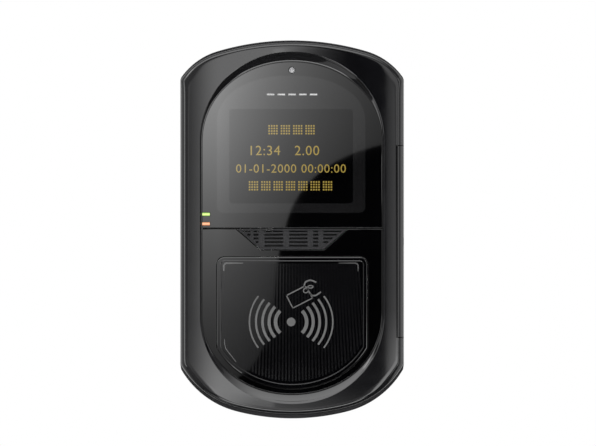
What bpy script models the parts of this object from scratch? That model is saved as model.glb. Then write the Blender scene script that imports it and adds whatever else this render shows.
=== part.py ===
"""On-bus contactless card validator: housing, window, card pad, service door, lock and insides.

Every piece is modelled on a bench frame: X to the viewer's right, Y up the face and Z out of the
face towards the viewer, with Z = 0 on the back of the mounting bracket. The empty named stand
then stands the whole unit upright, so that the face looks along -Y in the world.
Lengths below are millimetres on the bench, and MM turns them into metres.
"""

import math

import bmesh
import bpy
from mathutils import Matrix, Vector

MM = 0.001
GAP = 0.3  # between pieces that touch

# Housing
HALF_WIDTH = 70.0
TOP = 118.4
BOTTOM = -118.4
FRONT_HALF_WIDTH = 69.6
FRONT_TOP = 116.5
FRONT_BOTTOM = -115.1
WALL = 2.6
REAR_BACK = 2.8  # the bracket's front face, plus a gap
REAR_RIM = 14.0
FRONT_RIM = 15.2
CAVITY_FRONT = 57.0  # the front shell is solid from here to its bezel
CROWN = 68.0  # bezel at the middle line
BEZEL_EDGE = 63.0  # bezel at the crease
CREASE = 65.3
CORNER_BACK = 54.0  # where the rounded front corner meets the straight side

# Panel: window above, card panel below
PANEL_HALF_WIDTH = 56.2
PANEL_TOP = 104.7
PANEL_BOTTOM = -102.7
PANEL_END = 50.0
PANEL_BACK = 60.5
PANEL_FRONT = 63.0
SPLIT = 0.6
SPLIT_GAP = 0.9
RECESS_HALF_WIDTH = 57.4
RECESS_TOP = 110.7
RECESS_BOTTOM = -108.9
RECESS_END = 56.0
LEDGE_FRONT = 59.4
LEDGE_WIDTH = 4.0
PAD_RIM_HEIGHT = 0.7

# Lenses and speaker grille
LED_HEIGHTS = (9.45, 3.5)
SENSOR = (-0.1, 99.4)
GRILLE_TOP = 0.2
GRILLE_BOTTOM = -12.9
GRILLE_WIDE = 34.9
GRILLE_NARROW = 19.9
SLOT_ROWS = 5
SLOT_PITCH = 2.29
SLOT_HEIGHT = 1.0
# Upright ribs of the grille, as (middle, width)
RIBS = ((-25.0, 2.0), (-19.1, 3.8), (-3.7, 3.8), (11.4, 3.6), (17.9, 3.2))

# Service door on the right side
DOOR_TOP = 52.2
DOOR_BOTTOM = -67.3
DOOR_WALL = 2.4
HINGE_X = 67.6
HINGE_Z = 22.0
KNUCKLE_RADIUS = 2.0
PIN_RADIUS = 0.9
LUGS = ((-49.4, -45.0), (30.3, 34.7))
DOOR_SCREW_Y = -7.5
DOOR_SCREW_Z = 53.2

# Lock at the bottom, and the bracket's hooks
LOCK_Z = 26.0
LOCK_FACE = -115.0
LOCK_HEAD = 1.4
LOCK_HEAD_RADIUS = 9.0
HOOKS = (-25.0, 25.0)
CAM_REACH = 13.0

# Boards
MAIN_BOARD = 30.0
POWER_BOARD = 14.0
BOARD = 1.6
ON_MAIN = MAIN_BOARD + BOARD + GAP
ON_POWER = POWER_BOARD + BOARD + GAP
CASE_SCREWS = ((-58.0, 78.0), (58.0, 78.0), (-52.0, -82.0), (52.0, -82.0))
MAIN_POSTS = ((-46.0, 76.0), (46.0, 76.0), (-46.0, -66.0), (46.0, -66.0))
POWER_POSTS = ((-36.0, -30.0), (36.0, -30.0), (-36.0, -80.0), (36.0, -80.0))

for old in list(bpy.data.objects):
    bpy.data.objects.remove(old)

parts = bpy.data.collections.new("card_validator")
cutters = bpy.data.collections.new("cutters")
bpy.context.scene.collection.children.link(parts)
bpy.context.scene.collection.children.link(cutters)

stand = bpy.data.objects.new("stand", None)
stand.rotation_euler = (math.radians(90), 0, 0)
parts.objects.link(stand)

# How a shape drawn along its own Z is turned so that it runs along a bench axis.
TURN = {
    "X": Matrix(((0, 0, 1), (1, 0, 0), (0, 1, 0))).to_euler(),
    "Y": Matrix(((0, 1, 0), (0, 0, 1), (1, 0, 0))).to_euler(),
    "Z": Matrix.Identity(3).to_euler(),
}


# ---------------------------------------------------------------- helpers


def material(name, colour, roughness, metallic=0.0):
    made = bpy.data.materials.new(name)
    made.use_nodes = True
    shader = made.node_tree.nodes["Principled BSDF"]
    shader.inputs["Base Color"].default_value = (*colour, 1)
    shader.inputs["Roughness"].default_value = roughness
    shader.inputs["Metallic"].default_value = metallic
    return made


def place(name, mesh, look, at=(0, 0, 0), along="Z"):
    """Adds a mesh, given in metres, as a piece of the unit or, with no look, as a cutter."""
    made = bpy.data.objects.new(name, mesh)
    made.parent = stand
    made.location = Vector(at) * MM
    made.rotation_euler = TURN[along]
    if look is None:
        made.hide_render = True
        made.display_type = "WIRE"
        cutters.objects.link(made)
    else:
        mesh.materials.clear()
        mesh.materials.append(look)
        parts.objects.link(made)
    return made


def box(name, x, y, z, look=None, at=None, turn=0.0):
    """A box between the given limits, its origin at its centre or at the point given."""
    low = Vector((x[0], y[0], z[0]))
    high = Vector((x[1], y[1], z[1]))
    origin = (low + high) / 2 if at is None else Vector(at)
    move = Matrix.Translation(((low + high) / 2 - origin) * MM)
    size = Matrix.Diagonal((*((high - low) * MM), 1))
    shape = bmesh.new()
    bmesh.ops.create_cube(shape, size=1, matrix=move @ size)
    mesh = bpy.data.meshes.new(name)
    shape.to_mesh(mesh)
    shape.free()
    made = place(name, mesh, look, origin)
    made.rotation_euler.z += math.radians(turn)
    return made


def cylinder(name, radius, at, length, look=None, along="Z", sides=20):
    """A cylinder centred on the point given, its axis along a bench axis."""
    shape = bmesh.new()
    bmesh.ops.create_cone(
        shape,
        cap_ends=True,
        segments=sides,
        radius1=radius * MM,
        radius2=radius * MM,
        depth=length * MM,
    )
    mesh = bpy.data.meshes.new(name)
    shape.to_mesh(mesh)
    shape.free()
    made = place(name, mesh, look, at, along)
    smooth(made)
    return made


def turned(name, profile, look=None, at=(0, 0, 0), along="Z", closed=False, steps=24):
    """A profile of (radius, height) points turned about its axis."""
    mesh = bpy.data.meshes.new(name)
    points = [(radius * MM, 0, height * MM) for radius, height in profile]
    edges = [(i, i + 1) for i in range(len(points) - 1)]
    if closed:
        edges.append((len(points) - 1, 0))
    mesh.from_pydata(points, edges, [])
    made = place(name, mesh, look, at, along)
    screw = made.modifiers.new("turn", "SCREW")
    screw.steps = steps
    screw.render_steps = steps
    screw.use_merge_vertices = True
    screw.merge_threshold = 0.00001
    return made


def prism(name, outlines, limits, look=None, along="Z"):
    """A flat outline, with any holes after it, given thickness between two limits.

    Outline points are (x, y), or (x, z) for a piece along Y, or (y, z) for one along X.
    """
    curve = bpy.data.curves.new(name, "CURVE")
    curve.dimensions = "2D"
    curve.fill_mode = "BOTH"
    curve.extrude = (limits[1] - limits[0]) / 2 * MM
    for outline in outlines:
        spline = curve.splines.new("POLY")
        spline.points.add(len(outline) - 1)
        for point, corner in zip(spline.points, outline):
            across, up = reversed(corner) if along == "Y" else corner
            point.co = (across * MM, up * MM, 0, 1)
        spline.use_cyclic_u = True
    drawn = bpy.data.objects.new(name, curve)
    bpy.context.scene.collection.objects.link(drawn)
    graph = bpy.context.evaluated_depsgraph_get()
    mesh = bpy.data.meshes.new_from_object(drawn.evaluated_get(graph))
    bpy.data.objects.remove(drawn)
    shape = bmesh.new()
    shape.from_mesh(mesh)
    bmesh.ops.remove_doubles(shape, verts=shape.verts, dist=0.000001)
    bmesh.ops.recalc_face_normals(shape, faces=shape.faces)
    shape.to_mesh(mesh)
    shape.free()
    middle = (limits[0] + limits[1]) / 2
    at = {"X": (middle, 0, 0), "Y": (0, middle, 0), "Z": (0, 0, middle)}[along]
    return place(name, mesh, look, at, along)


def loft(name, rings, look=None):
    """A closed solid through rings of bench points that all have the same number of points."""
    shape = bmesh.new()
    rows = [[shape.verts.new(Vector(point) * MM) for point in ring] for ring in rings]
    count = len(rows[0])
    for near, far in zip(rows, rows[1:]):
        for i in range(count):
            j = (i + 1) % count
            shape.faces.new((near[i], near[j], far[j], far[i]))
    shape.faces.new(rows[0])
    shape.faces.new(rows[-1])
    bmesh.ops.recalc_face_normals(shape, faces=shape.faces)
    mesh = bpy.data.meshes.new(name)
    shape.to_mesh(mesh)
    shape.free()
    return place(name, mesh, look)


def smooth(made, degrees=35):
    made.data.shade_smooth()
    made.data.set_sharp_from_angle(angle=math.radians(degrees))


def combine(target, tool, operation):
    step = target.modifiers.new(tool.name, "BOOLEAN")
    step.operation = operation
    step.object = tool
    step.solver = "EXACT"


def cut(target, *tools):
    for tool in tools:
        combine(target, tool, "DIFFERENCE")


def join(target, *tools):
    for tool in tools:
        combine(target, tool, "UNION")


def arc(centre, radii, start, end, steps):
    """Points on an ellipse between two angles in degrees, both ends included."""
    angles = [math.radians(start + (end - start) * i / steps) for i in range(steps + 1)]
    return [
        (centre[0] + radii[0] * math.cos(a), centre[1] + radii[1] * math.sin(a))
        for a in angles
    ]


def end_cap(half_width, crown_radius, crown_half, corner_radius, height):
    """Right half of a crowned end: a wide crown arc running into a tighter corner arc."""
    lean = math.degrees(math.asin(crown_half / crown_radius))
    crown_centre = (0, height - crown_radius)
    share = (crown_radius - corner_radius) / crown_radius
    corner_centre = (
        crown_half * share,
        crown_centre[1] + share * crown_radius * math.cos(math.radians(lean)),
    )
    finish = math.degrees(math.acos((half_width - corner_centre[0]) / corner_radius))
    corner = arc(corner_centre, (corner_radius,) * 2, finish, 90 - lean, 5)
    crown = arc(crown_centre, (crown_radius,) * 2, 90 - lean, 90, 4)
    return corner + crown[1:]


def housing_outline(half_width, top, bottom):
    """The housing seen from the front, anticlockwise from the right side."""
    upper = end_cap(half_width, 164, 47, 42, top)
    lower = end_cap(half_width, 140, 35, 56, -bottom)
    upper += [(-x, y) for x, y in reversed(upper[:-1])]
    lower += [(-x, y) for x, y in reversed(lower[:-1])]
    return upper + [(-x, -y) for x, y in lower]


def inset(outline, distance):
    """The outline moved inwards, each side parallel to itself. It runs anticlockwise."""
    moved = []
    for i, point in enumerate(outline):
        here = Vector(point)
        before = (here - Vector(outline[i - 1])).normalized()
        after = (Vector(outline[(i + 1) % len(outline)]) - here).normalized()
        inward = Vector((-before.y, before.x)) + Vector((-after.y, after.x))
        inward.normalize()
        reach = distance / max(inward.dot(Vector((-after.y, after.x))), 0.3)
        moved.append(tuple(here + inward * reach))
    return moved


def panel_end(half_width, height, end, power=2.05, steps=12):
    """The rounded upper end of the panel, from its right side to its left side."""
    points = []
    for i in range(2 * steps + 1):
        angle = math.pi * i / (2 * steps)
        across = math.copysign(abs(math.cos(angle)) ** (2 / power), math.cos(angle))
        up = math.sin(angle) ** (2 / power)
        points.append((half_width * across, height - end + end * up))
    return points


def panel_outline(half_width, top, bottom, end):
    upper = panel_end(half_width, top, end)
    lower = [(-x, -y) for x, y in panel_end(half_width, -bottom, end)]
    return upper + lower


def rectangle(x, y, radius=0.0):
    """A rectangle with rounded corners, anticlockwise."""
    if not radius:
        return [(x[0], y[0]), (x[1], y[0]), (x[1], y[1]), (x[0], y[1])]
    corners = (
        (x[1] - radius, y[1] - radius, 0),
        (x[0] + radius, y[1] - radius, 90),
        (x[0] + radius, y[0] + radius, 180),
        (x[1] - radius, y[0] + radius, 270),
    )
    outline = []
    for centre_x, centre_y, start in corners:
        outline += arc((centre_x, centre_y), (radius, radius), start, start + 90, 4)
    return outline


def pad_outline(half_width, top, bottom, radius):
    """The D shape of the card pad: round upper corners, and a lower end that follows the panel."""
    centre_y = PANEL_BOTTOM + PANEL_END
    wide = half_width + 5.8
    end = math.degrees(math.acos(half_width / wide))
    lower = arc((0, centre_y), (wide, centre_y - bottom), 180 + end, 360 - end, 16)
    right = arc((half_width - radius, top - radius), (radius, radius), 0, 90, 4)
    left = arc((radius - half_width, top - radius), (radius, radius), 90, 180, 4)
    return lower + right + left


def bezel_depth(x):
    """How far the curved bezel stands off the wall at this distance from the middle line."""
    return CROWN - (CROWN - BEZEL_EDGE) * (x / CREASE) ** 2


def front_corner(inward, start, end):
    """The rounded front corner of the housing as (x, z), moved inwards by a wall."""
    reach = FRONT_HALF_WIDTH - CREASE - inward * 0.98
    rise = BEZEL_EDGE - CORNER_BACK - inward
    return arc((CREASE, CORNER_BACK), (reach, rise), start, end, 5)


panel = panel_outline(PANEL_HALF_WIDTH, PANEL_TOP, PANEL_BOTTOM, PANEL_END)
rear_outline = housing_outline(HALF_WIDTH, TOP, BOTTOM)
front_outline = housing_outline(FRONT_HALF_WIDTH, FRONT_TOP, FRONT_BOTTOM)


# ---------------------------------------------------------------- housing


def make_front_shell():
    look = material("front_shell_plastic", (0.022, 0.023, 0.026), 0.42)
    shell = prism("front_shell", [front_outline], (FRONT_RIM, 72), look)

    right = [(80, 10), (80, CORNER_BACK)] + front_corner(0, 0, 90)
    bezel = [(x, bezel_depth(x)) for x in range(60, -1, -6)]
    half = right + bezel
    section = half + [(-x, z) for x, z in reversed(half[:-1])]
    combine(shell, prism("bezel_section", [section], (-125, 125), along="Y"), "INTERSECT")

    cut(shell, prism("front_cavity", [inset(front_outline, WALL)], (10, CAVITY_FRONT)))
    seat = inset(panel, -GAP)
    rim = panel_outline(RECESS_HALF_WIDTH, RECESS_TOP, RECESS_BOTTOM, RECESS_END)
    rings = (
        [(x, y, LEDGE_FRONT) for x, y in seat],
        [(x, y, PANEL_FRONT) for x, y in seat],
        [(x, y, bezel_depth(x)) for x, y in rim],
        [(x, y, 80) for x, y in rim],
    )
    cut(shell, loft("recess", rings))
    cut(shell, prism("ledge_opening", [inset(panel, LEDGE_WIDTH)], (50, 65)))

    tools = []
    for i, (x, y) in enumerate(CASE_SCREWS):
        tools.append(cylinder(f"front_boss_{i + 1}", 4.5, (x, y, 37.2), 41.8))
    join(shell, *tools)
    for i, (x, y) in enumerate(CASE_SCREWS):
        cut(shell, cylinder(f"front_boss_bore_{i + 1}", 1.8, (x, y, 24), 18, sides=16))

    opening = [
        (66.6, 19.2),
        (75, 19.2),
        (75, 72),
        (CREASE - 0.1, 72),
        (CREASE - 0.1, 59.6),
        (66.6, 55.5),
    ]
    limits = (DOOR_BOTTOM - 0.4, DOOR_TOP + 0.4)
    cut(shell, prism("door_opening", [opening], limits, along="Y"))
    for i, lug in enumerate(LUGS):
        join(shell, box(f"hinge_lug_{i + 1}", (65.9, 69.3), lug, (17, 24)))
    cut(shell, cylinder("lug_bore", PIN_RADIUS + GAP, (HINGE_X, -7, HINGE_Z), 90, along="Y", sides=16))

    for i, y in enumerate(LED_HEIGHTS):
        cut(shell, box(f"led_slot_{i + 1}", (-56.4, -51), (y - 1.35, y + 1.35), (53, 64.5)))
    cut(shell, cylinder("sensor_bore", 2.3, (*SENSOR, 60), 8, sides=16))
    cut(shell, cylinder("lock_bore", 7.4, (0, -114, LOCK_Z), 12, along="Y", sides=28))
    seat = LOCK_FACE + LOCK_HEAD + GAP / 2
    radius = LOCK_HEAD_RADIUS + GAP
    cut(shell, cylinder("lock_seat", radius, (0, seat - 2, LOCK_Z), 4, along="Y", sides=28))
    return shell


def make_rear_shell():
    look = material("rear_shell_plastic", (0.035, 0.036, 0.038), 0.5)
    steps = ((5.0, REAR_BACK), (1.6, 4.6), (0.0, 7.5), (0.0, REAR_RIM))
    rings = [[(x, y, z) for x, y in inset(rear_outline, d)] for d, z in steps]
    shell = loft("rear_shell", rings, look)
    steps = ((6.0, REAR_BACK + 2.5), (WALL, 8.0), (WALL, 20))
    rings = [[(x, y, z) for x, y in inset(rear_outline, d)] for d, z in steps]
    cut(shell, loft("rear_cavity", rings))

    for i, (x, y) in enumerate(CASE_SCREWS):
        join(shell, cylinder(f"rear_boss_{i + 1}", 5, (x, y, 10), 12))
        cut(shell, cylinder(f"counterbore_{i + 1}", 3.6, (x, y, 4.5), 7))
        cut(shell, cylinder(f"clearance_{i + 1}", 1.9, (x, y, 12), 14, sides=16))
    for i, (x, y) in enumerate(MAIN_POSTS):
        top = MAIN_BOARD - GAP
        join(shell, cylinder(f"main_post_{i + 1}", 3, (x, y, (top + 4) / 2), top - 4, sides=12))
    for i, (x, y) in enumerate(POWER_POSTS):
        top = POWER_BOARD - GAP
        join(shell, cylinder(f"power_post_{i + 1}", 2.5, (x, y, (top + 4) / 2), top - 4, sides=12))

    for i, x in enumerate(HOOKS):
        cut(shell, box(f"hook_slot_{i + 1}", (x - 5, x + 5), (50, 61.4), (0, 8)))
    cut(shell, box("tab_slot", (-10, 10), (-97, -92.5), (0, 8)))
    cut(shell, box("socket_window", (-19.5, 21), (-46.6, -31.4), (0, 8)))
    return shell


def make_gaskets():
    look = material("gasket_rubber", (0.012, 0.012, 0.012), 0.8)
    loops = [inset(front_outline, 0.9), inset(front_outline, 2.3)]
    prism("housing_gasket", loops, (REAR_RIM + GAP, FRONT_RIM - GAP), look)

    loops = [inset(panel, 0.5), inset(panel, 3.4)]
    ring = prism("panel_gasket", loops, (LEDGE_FRONT + GAP, PANEL_BACK - GAP), look)
    cut(ring, box("led_gap", (-58, -50), (LED_HEIGHTS[1] - 1.4, LED_HEIGHTS[0] + 1.4), (58, 62)))
    cut(ring, cylinder("sensor_gap", 2.3, (*SENSOR, 60), 4, sides=16))


# ---------------------------------------------------------------- panel


def make_window():
    look = material("window_gloss", (0.008, 0.008, 0.01), 0.06)
    outline = panel_end(PANEL_HALF_WIDTH, PANEL_TOP, PANEL_END)
    foot = SPLIT + SPLIT_GAP / 2
    outline += [(-PANEL_HALF_WIDTH, foot), (PANEL_HALF_WIDTH, foot)]
    window = prism("display_window", [outline], (PANEL_BACK, PANEL_FRONT), look)
    for i, y in enumerate(LED_HEIGHTS):
        cut(window, box(f"led_notch_{i + 1}", (-58, -51.1), (y - 1.3, y + 1.3), (58, 66)))
    cut(window, cylinder("sensor_hole", 2.2, (*SENSOR, 62), 8))


def make_card_panel():
    look = material("card_panel_gloss", (0.009, 0.009, 0.011), 0.1)
    top = SPLIT - SPLIT_GAP / 2
    lower = [(-x, -y) for x, y in panel_end(PANEL_HALF_WIDTH, -PANEL_BOTTOM, PANEL_END)]
    notch = [
        (GRILLE_WIDE, top),
        (GRILLE_NARROW, GRILLE_BOTTOM),
        (-GRILLE_NARROW, GRILLE_BOTTOM),
        (-GRILLE_WIDE, top),
    ]
    outline = lower + [(PANEL_HALF_WIDTH, top)] + notch + [(-PANEL_HALF_WIDTH, top)]
    hole = pad_outline(47.2, -17.0, -99.5, 5)
    prism("card_panel", [outline, hole], (PANEL_BACK, PANEL_FRONT), look)

    look = material("card_pad_film", (0.03, 0.031, 0.034), 0.3)
    top_face = PANEL_FRONT + PAD_RIM_HEIGHT
    pad = prism("card_pad", [inset(hole, GAP)], (PANEL_BACK, top_face), look)
    field = pad_outline(44.4, -18.4, -97.3, 4)
    cut(pad, prism("pad_field", [field], (PANEL_FRONT, top_face + 2)))


def make_grille():
    look = material("grille_plastic", (0.02, 0.02, 0.022), 0.35)
    wide = GRILLE_WIDE - GAP
    narrow = GRILLE_NARROW - GAP
    foot = GRILLE_BOTTOM + GAP
    outline = [(-wide, GRILLE_TOP), (-narrow, foot), (narrow, foot), (wide, GRILLE_TOP)]
    holes = []
    for row in range(SLOT_ROWS):
        y = -1.0 - SLOT_PITCH * row
        share = (GRILLE_TOP - y) / (GRILLE_TOP - foot)
        limit = wide + (narrow - wide) * share - 2.6
        lefts = [-limit] + [middle + width / 2 for middle, width in RIBS]
        rights = [middle - width / 2 for middle, width in RIBS] + [limit]
        for left, right in zip(lefts, rights):
            left = max(left, -limit)
            right = min(right, limit)
            if right - left > 1.2:
                half = SLOT_HEIGHT / 2
                holes.append(rectangle((left, right), (y - half, y + half)))
    prism("speaker_grille", [outline, *holes], (PANEL_BACK - 0.3, PANEL_FRONT + 0.5), look)


def make_lenses():
    for name, y, colour in (
        ("led_lens_green", LED_HEIGHTS[0], (0.2, 0.9, 0.25)),
        ("led_lens_orange", LED_HEIGHTS[1], (1.0, 0.45, 0.05)),
    ):
        look = material(name + "_plastic", colour, 0.25)
        box(name, (-56, -51.4), (y - 1, y + 1), (54, PANEL_FRONT + 0.2), look)
    look = material("sensor_lens_plastic", (0.7, 0.72, 0.75), 0.1)
    dome = arc((0, PANEL_FRONT - 0.3), (1.9, 1.3), 90, 0, 4)
    profile = [(0, dome[0][1])] + dome[1:] + [(1.9, 58), (0, 58)]
    turned("light_sensor_lens", profile, look, (*SENSOR, 0), steps=16)


# ---------------------------------------------------------------- display, speaker and card loop


def make_display():
    glass = material("display_glass_pane", (0.02, 0.018, 0.012), 0.08)
    steel = material("display_frame_steel", (0.55, 0.56, 0.58), 0.35, 1.0)
    board = material("display_board_laminate", (0.02, 0.12, 0.05), 0.5)
    film = material("ribbon_film", (0.7, 0.45, 0.12), 0.4)
    box("display_glass", (-41.6, 40.4), (13.5, 77.8), (57.2, 59.4), glass)
    frame = box("display_frame", (-47, 46), (9.5, 82), (49, 56.7), steel)
    cut(frame, box("frame_opening", (-40, 38.8), (15, 76.3), (50.5, 60)))
    box("display_board", (-47, 46), (9.5, 82), (47.1, 48.7), board)
    bend = [
        (66, 46.8), (50, 46.8), (47, 45.6), (46, 43), (46, 32.5), (47, 32), (56, 32),
        (56, 32.4), (47.3, 32.4), (46.4, 32.9), (46.4, 43), (47.3, 45.2), (50, 46.4), (66, 46.4),
    ]
    prism("display_ribbon", [bend[::-1]], (-46, -38), film, along="X")


def make_speaker():
    steel = material("speaker_steel", (0.3, 0.3, 0.31), 0.4, 1.0)
    paper = material("speaker_paper", (0.03, 0.03, 0.03), 0.85)
    ferrite = material("magnet_ferrite", (0.06, 0.06, 0.065), 0.6)
    at = (0, -6.4, 0)
    basket = (
        (13.5, 56.5), (13.5, 54.5), (12.2, 54.5), (8.8, 46.0),
        (5.6, 46.0), (5.6, 47.4), (7.8, 47.4), (11.2, 56.5),
    )
    turned("speaker_basket", basket, steel, at, closed=True)
    cone = (
        (0, 52.0), (4, 51.5), (9.9, 55.4), (9.9, 54.8), (5.2, 50.9),
        (5.2, 48.2), (4.7, 48.2), (4.7, 50.6), (0, 51.2),
    )
    turned("speaker_cone", cone, paper, at)
    turned("speaker_magnet", ((0, 45.7), (8, 45.7), (8, 38.5), (0, 38.5)), ferrite, at)


def make_card_loop():
    board = material("antenna_laminate", (0.03, 0.14, 0.06), 0.45)
    sheet = material("ferrite_sheet_grey", (0.09, 0.09, 0.095), 0.55)
    loops = [rectangle((-44, 44), (-95, -21), 3), rectangle((-30, 30), (-80, -36), 3)]
    prism("antenna_board", loops, (55.0, 56.6), board)
    prism("ferrite_sheet", [rectangle((-42, 42), (-93, -23), 3)], (54.2, 54.7), sheet)
    box("led_board", (-62, -50.5), (-1, 14), (52, 53.6), board)
    box("light_sensor_board", (-7, 6), (93, 106), (55, 56.6), board)


# ---------------------------------------------------------------- main electronics


def make_main_electronics():
    board = material("main_laminate", (0.02, 0.11, 0.05), 0.45)
    chip = material("module_black", (0.015, 0.015, 0.016), 0.5)
    tin = material("shield_tin", (0.62, 0.62, 0.6), 0.3, 1.0)
    nickel = material("cell_nickel", (0.7, 0.7, 0.7), 0.25, 1.0)
    film = material("antenna_film", (0.65, 0.4, 0.1), 0.5)
    box("main_board", (-51.5, 51.5), (-75, 85), (MAIN_BOARD, MAIN_BOARD + BOARD), board)
    box("processor_module", (-22, 28), (22, 62), (ON_MAIN, ON_MAIN + 3.5), chip)
    box("rf_shield_can", (-22, 8), (-18, 8), (ON_MAIN, ON_MAIN + 4), tin)
    box("cellular_module", (-48, -25), (-2, 28), (ON_MAIN, ON_MAIN + 2.8), tin)
    box("cellular_antenna", (-44, -14), (86, 98), (55.8, 56.6), film)
    cup = (
        (0, ON_MAIN + 1.1), (10.4, ON_MAIN + 1.1), (10.4, ON_MAIN + 4.6),
        (12, ON_MAIN + 4.6), (12, ON_MAIN), (0, ON_MAIN),
    )
    turned("cell_holder", cup, chip, (-28, -45, 0))
    cylinder("backup_cell", 10.1, (-28, -45, ON_MAIN + 3.0), 3.2, nickel, sides=24)


def make_power_supply():
    board = material("power_laminate", (0.02, 0.1, 0.05), 0.45)
    core = material("inductor_core", (0.08, 0.08, 0.085), 0.6)
    can = material("capacitor_can", (0.05, 0.06, 0.12), 0.35)
    metal = material("heat_sink_aluminium", (0.12, 0.12, 0.125), 0.4, 1.0)
    box("power_board", (-42, 42), (-88, -24), (POWER_BOARD, POWER_BOARD + BOARD), board)
    box("power_inductor", (-32, -18), (-52, -38), (ON_POWER, ON_POWER + 7), core)
    for i, x in enumerate((-6, 7)):
        cylinder(f"bulk_capacitor_{i + 1}", 5, (x, -72, ON_POWER + 6.2), 12.4, can)
    sink = box("heat_sink", (14, 38), (-62, -36), (ON_POWER, ON_POWER + 12), metal)
    for i in range(4):
        x = 17 + 5 * i
        cut(sink, box(f"fin_gap_{i + 1}", (x, x + 3), (-65, -33), (ON_POWER + 2, ON_POWER + 15)))


def make_rear_sockets():
    shell = material("socket_black", (0.02, 0.02, 0.02), 0.45)
    tin = material("socket_tin", (0.65, 0.65, 0.63), 0.3, 1.0)
    top = POWER_BOARD - GAP
    power = box("main_connector", (-19, 3), (-46, -32), (3.4, top), shell)
    cut(power, box("main_connector_mouth", (-17.5, 1.5), (-44.5, -33.5), (0, 12)))
    network = box("network_socket", (5, 20.5), (-46, -32), (3.4, top), tin)
    cut(network, box("network_mouth", (6.6, 18.9), (-44.5, -34.5), (0, 12)))


# ---------------------------------------------------------------- service door and bay


def make_door():
    look = material("door_plastic", (0.022, 0.023, 0.026), 0.42)
    hinge = arc((HINGE_X, HINGE_Z), (KNUCKLE_RADIUS,) * 2, 0, -180, 10)
    inner = front_corner(DOOR_WALL, 0, 78)
    outer = front_corner(0, 85, 0)
    section = hinge + [(HINGE_X - KNUCKLE_RADIUS, HINGE_Z + 1), (67.2, 25)] + inner + outer
    bore = arc((HINGE_X, HINGE_Z), (PIN_RADIUS + GAP,) * 2, 0, 337.5, 15)
    door = prism("service_door", [section, bore], (DOOR_BOTTOM, DOOR_TOP), look, along="Y")
    for i, (low, high) in enumerate(LUGS):
        cut(door, box(f"knuckle_gap_{i + 1}", (64, 71), (low - 0.4, high + 0.4), (19, 24.6)))
    at = (68.8 + 1.2, DOOR_SCREW_Y, DOOR_SCREW_Z)
    cut(door, cylinder("screw_counterbore", 3.3, at, 4, along="X"))
    cut(door, cylinder("screw_clearance", 1.7, (66, DOOR_SCREW_Y, DOOR_SCREW_Z), 8, along="X"))
    set_origin(door, (HINGE_X, (DOOR_TOP + DOOR_BOTTOM) / 2, HINGE_Z))

    steel = material("pin_steel", (0.6, 0.6, 0.6), 0.25, 1.0)
    cylinder("door_hinge_pin", PIN_RADIUS, (HINGE_X, -7.5, HINGE_Z), 117, steel, "Y", 12)
    head = ((0, 69.4), (3.0, 69.4), (3.0, 68.3), (1.4, 68.3), (1.4, 59), (0, 59))
    turned("door_screw", head, steel, (0, DOOR_SCREW_Y, DOOR_SCREW_Z), "X", steps=16)

    rubber = material("seal_rubber", (0.01, 0.01, 0.01), 0.8)
    loops = [
        rectangle((-69.5, 54.5), (25.4, 56.3), 2),
        rectangle((-65.5, 50.5), (29.4, 50.9), 2),
    ]
    seal = prism("door_seal", loops, (66.3, 66.7), rubber, along="X")
    cut(seal, cylinder("seal_hole", 1.8, (66.5, DOOR_SCREW_Y, DOOR_SCREW_Z), 4, along="X"))


def set_origin(made, bench_point):
    """Moves an object's origin onto its joint axis and leaves its shape where it is."""
    target = Vector(bench_point) * MM
    shift = made.rotation_euler.to_matrix().inverted() @ (target - made.location)
    made.data.transform(Matrix.Translation(-shift))
    made.location = target


SOCKETS = {
    "usb_socket": ((20, 34.6), 7.0, (21.1, 33.5), (1.0, 6.0)),
    "memory_card_slot": ((-2, 12), 3.5, (-0.5, 10.5), (1.2, 2.4)),
    "sam_socket_1": ((-24, -8), 3.5, (-22.5, -9.5), (1.2, 2.4)),
    "sam_socket_2": ((-44, -28), 3.5, (-42.5, -29.5), (1.2, 2.4)),
}
BUTTON = (41.5, ON_MAIN + 3)
SWITCH = (54.5, -52.5, 40.0)


def make_bay():
    look = material("bay_plastic", (0.05, 0.05, 0.052), 0.55)
    tin = material("service_socket_tin", (0.62, 0.62, 0.6), 0.3, 1.0)
    bay = box("service_bay", (52, 66), (-62, 47), (29, 52), look)
    join(bay, box("bay_flange", (64.5, 66.0), (-69.5, 54.5), (25.4, 56.3)))
    boss = (61, DOOR_SCREW_Y, DOOR_SCREW_Z)
    join(bay, cylinder("bay_boss", 3.0, boss, 8, along="X", sides=16))
    cut(bay, box("bay_hollow", (54, 70), (-60, 45), (31, 50)))
    cut(bay, cylinder("boss_bore", 1.7, boss, 14, along="X", sides=16))
    for name, (y, height, mouth_y, mouth_z) in SOCKETS.items():
        low = ON_MAIN
        socket = box(name, (38, 54.6), y, (low, low + height), tin)
        mouth_limits = (low + mouth_z[0], low + mouth_z[1])
        cut(socket, box(name + "_mouth", (42, 60), mouth_y, mouth_limits))
        hole = ((50, 56), (y[0] - 0.4, y[1] + 0.4), (low - 0.4, low + height + 0.4))
        cut(bay, box(name + "_window", *hole))
    cut(bay, cylinder("button_hole", 2.2, (53, *BUTTON), 6, along="X"))
    cut(bay, box("switch_hole", (50, 56), (-59, -46), (35.6, 44.4)))


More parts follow.
